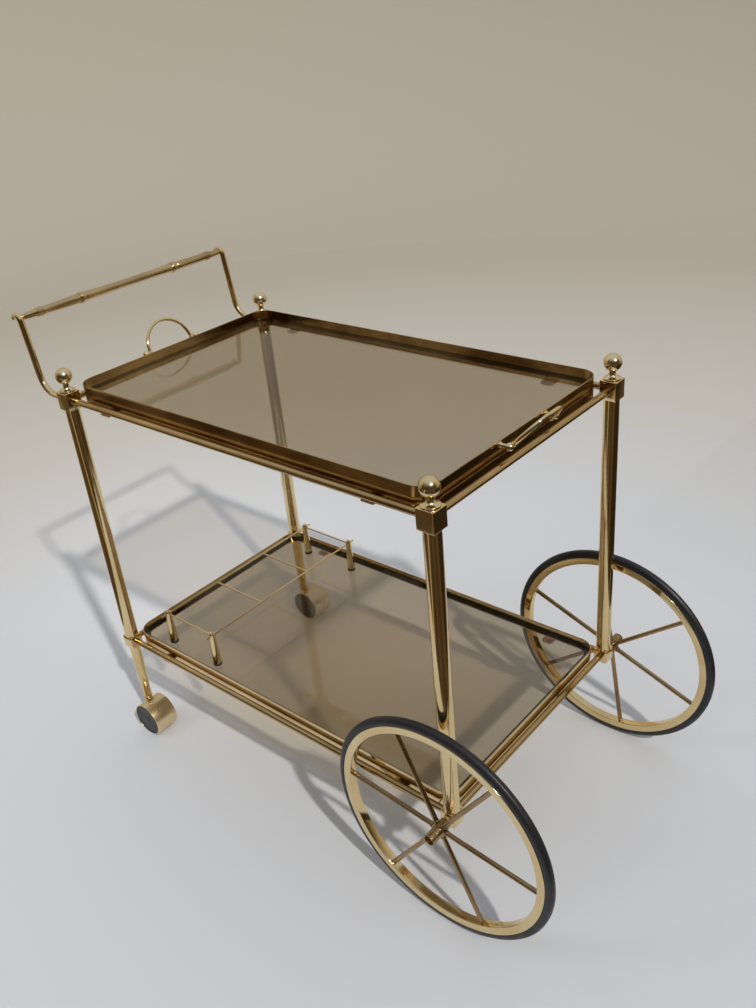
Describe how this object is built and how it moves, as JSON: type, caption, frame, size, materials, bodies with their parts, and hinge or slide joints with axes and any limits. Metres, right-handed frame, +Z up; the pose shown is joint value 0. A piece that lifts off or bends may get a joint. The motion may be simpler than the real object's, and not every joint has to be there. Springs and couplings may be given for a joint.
{
  "type": "drinks trolley",
  "caption": "Two-tier brass drinks trolley with smoked-glass tray and shelf, large spoked wheels, hooded casters and a bottle rack.",
  "frame": {"origin": "on the floor under the middle of the overall box", "axes": "+X from the push-handle end to the big-wheel end, +Y to the left-hand side, +Z up"},
  "size_m": [0.9502, 0.505, 0.742],
  "materials": {
    "brass": "polished golden brass",
    "satin_brass": "satin brass, slightly paler",
    "aged_brass": "darker antique brass",
    "smoked_glass": "bronze-smoked float glass",
    "tyre": "matt charcoal rubber",
    "roller": "black nylon",
    "pad_rubber": "black rubber"
  },
  "bodies": {
    "frame": {"post_wheel_right": "brass", "upper_block_wheel_right": "brass", "lower_block_wheel_right": "brass", "finial_wheel_right": "brass", "post_wheel_left": "brass", "upper_block_wheel_left": "brass", "lower_block_wheel_left": "brass", "finial_wheel_left": "brass", "post_handle_right": "brass", "upper_block_handle_right": "brass", "lower_block_handle_right": "brass", "finial_handle_right": "brass", "post_handle_left": "brass", "upper_block_handle_left": "brass", "lower_block_handle_left": "brass", "finial_handle_left": "brass", "long_rail_upper_right": "brass", "long_rail_upper_left": "brass", "cross_rail_upper_wheel": "brass", "cross_rail_upper_handle": "brass", "long_rail_lower_right": "brass", "long_rail_lower_left": "brass", "cross_rail_lower_wheel": "brass", "cross_rail_lower_handle": "brass", "shelf_band": "aged_brass", "shelf_glass": "smoked_glass", "handle_arm_right": "brass", "foot_right": "brass", "wheel_axle_right": "brass", "handle_arm_left": "brass", "foot_left": "brass", "wheel_axle_left": "brass", "handle_bar": "satin_brass"},
    "tray": {"tray_band": "aged_brass", "tray_glass": "smoked_glass"},
    "bail_wheel": {"bail_wheel_end": "brass"},
    "bail_handle": {"bail_handle_end": "brass"},
    "wheel_right": {"wheel_tyre_right": "tyre", "wheel_rim_right": "brass", "wheel_star_right": "satin_brass"},
    "caster_right": {"caster_hood_right": "satin_brass", "caster_pin_right": "satin_brass"},
    "roller_right_outer": {"roller_right_outer": "roller"},
    "roller_right_inner": {"roller_right_inner": "roller"},
    "wheel_left": {"wheel_tyre_left": "tyre", "wheel_rim_left": "brass", "wheel_star_left": "satin_brass"},
    "caster_left": {"caster_hood_left": "satin_brass", "caster_pin_left": "satin_brass"},
    "roller_left_outer": {"roller_left_outer": "roller"},
    "roller_left_inner": {"roller_left_inner": "roller"},
    "rack": {"rack_rods": "brass", "rack_post_wheel_right": "brass", "rack_pad_wheel_right": "pad_rubber", "rack_post_wheel_left": "brass", "rack_pad_wheel_left": "pad_rubber", "rack_post_handle_right": "brass", "rack_pad_handle_right": "pad_rubber", "rack_post_handle_left": "brass", "rack_pad_handle_left": "pad_rubber"}
  },
  "joints": [
    {"name": "tray_lift", "type": "slide", "parent": "frame", "child": "tray", "axis": [0, 0, 1], "range_m": [0, 0.25]},
    {"name": "bail_wheel_swing", "type": "hinge", "parent": "tray", "child": "bail_wheel", "pos_m": [0.3081, 0, 0.6385], "axis": [0, 1, 0], "range_deg": [-97, 103]},
    {"name": "bail_handle_swing", "type": "hinge", "parent": "tray", "child": "bail_handle", "pos_m": [-0.3759, 0, 0.6385], "axis": [0, 1, 0], "range_deg": [-121, 79]},
    {"name": "wheel_spin_right", "type": "hinge", "parent": "frame", "child": "wheel_right", "pos_m": [0.3061, -0.229, 0.169], "axis": [0, 1, 0], "continuous": true},
    {"name": "wheel_spin_left", "type": "hinge", "parent": "frame", "child": "wheel_left", "pos_m": [0.3061, 0.229, 0.169], "axis": [0, 1, 0], "continuous": true},
    {"name": "caster_swivel_right", "type": "hinge", "parent": "frame", "child": "caster_right", "pos_m": [-0.3739, -0.202, 0.045], "axis": [0, 0, 1], "continuous": true},
    {"name": "roller_spin_right_outer", "type": "hinge", "parent": "caster_right", "child": "roller_right_outer", "pos_m": [-0.3404, -0.2135, 0.028], "axis": [0, 1, 0], "continuous": true},
    {"name": "roller_spin_right_inner", "type": "hinge", "parent": "caster_right", "child": "roller_right_inner", "pos_m": [-0.3404, -0.2135, 0.028], "axis": [0, 1, 0], "continuous": true},
    {"name": "caster_swivel_left", "type": "hinge", "parent": "frame", "child": "caster_left", "pos_m": [-0.3739, 0.202, 0.045], "axis": [0, 0, 1], "continuous": true},
    {"name": "roller_spin_left_outer", "type": "hinge", "parent": "caster_left", "child": "roller_left_outer", "pos_m": [-0.3404, 0.1905, 0.028], "axis": [0, 1, 0], "continuous": true},
    {"name": "roller_spin_left_inner", "type": "hinge", "parent": "caster_left", "child": "roller_left_inner", "pos_m": [-0.3404, 0.1905, 0.028], "axis": [0, 1, 0], "continuous": true},
    {"name": "rack_lift", "type": "slide", "parent": "frame", "child": "rack", "axis": [0, 0, 1], "range_m": [0, 0.25]}
  ]
}
